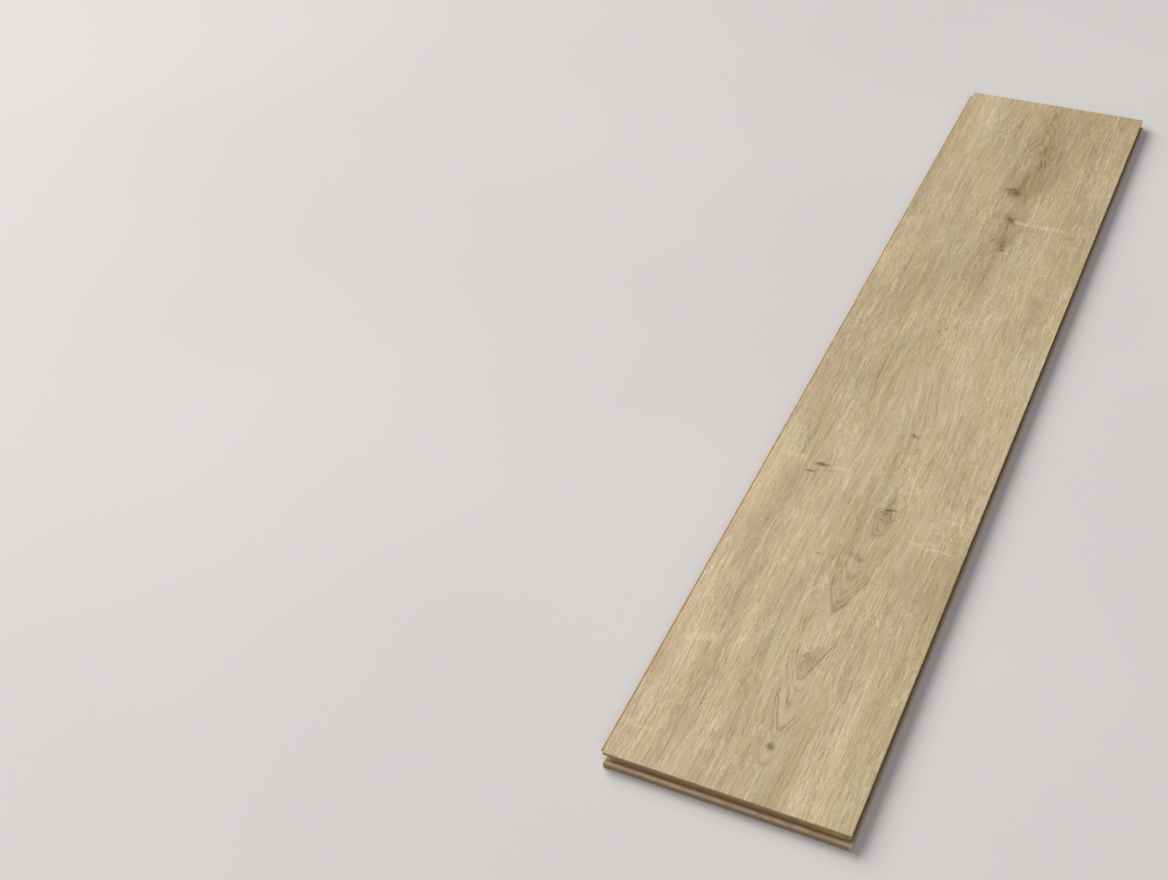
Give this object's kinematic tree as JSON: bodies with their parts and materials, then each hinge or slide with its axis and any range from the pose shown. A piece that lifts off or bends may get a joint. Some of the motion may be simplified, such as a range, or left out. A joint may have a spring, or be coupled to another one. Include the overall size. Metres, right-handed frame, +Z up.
{
  "type": "laminate floor plank",
  "caption": "Flat fibreboard floor plank with a wood-grain decor face, milled to click together: groove and lower lip on two edges, tongue and undercut on the other two.",
  "frame": {"origin": "on the underside, below the centre of the decor face", "axes": "+Z up out of the decor face, +Y along the board towards its tongue end, +X across it towards its groove side"},
  "size_m": [0.2614, 1.3926, 0.012],
  "materials": {
    "board": "matt embossed light oak decor on brown fibreboard"
  },
  "bodies": {
    "root": {"plank": "board"}
  },
  "joints": []
}
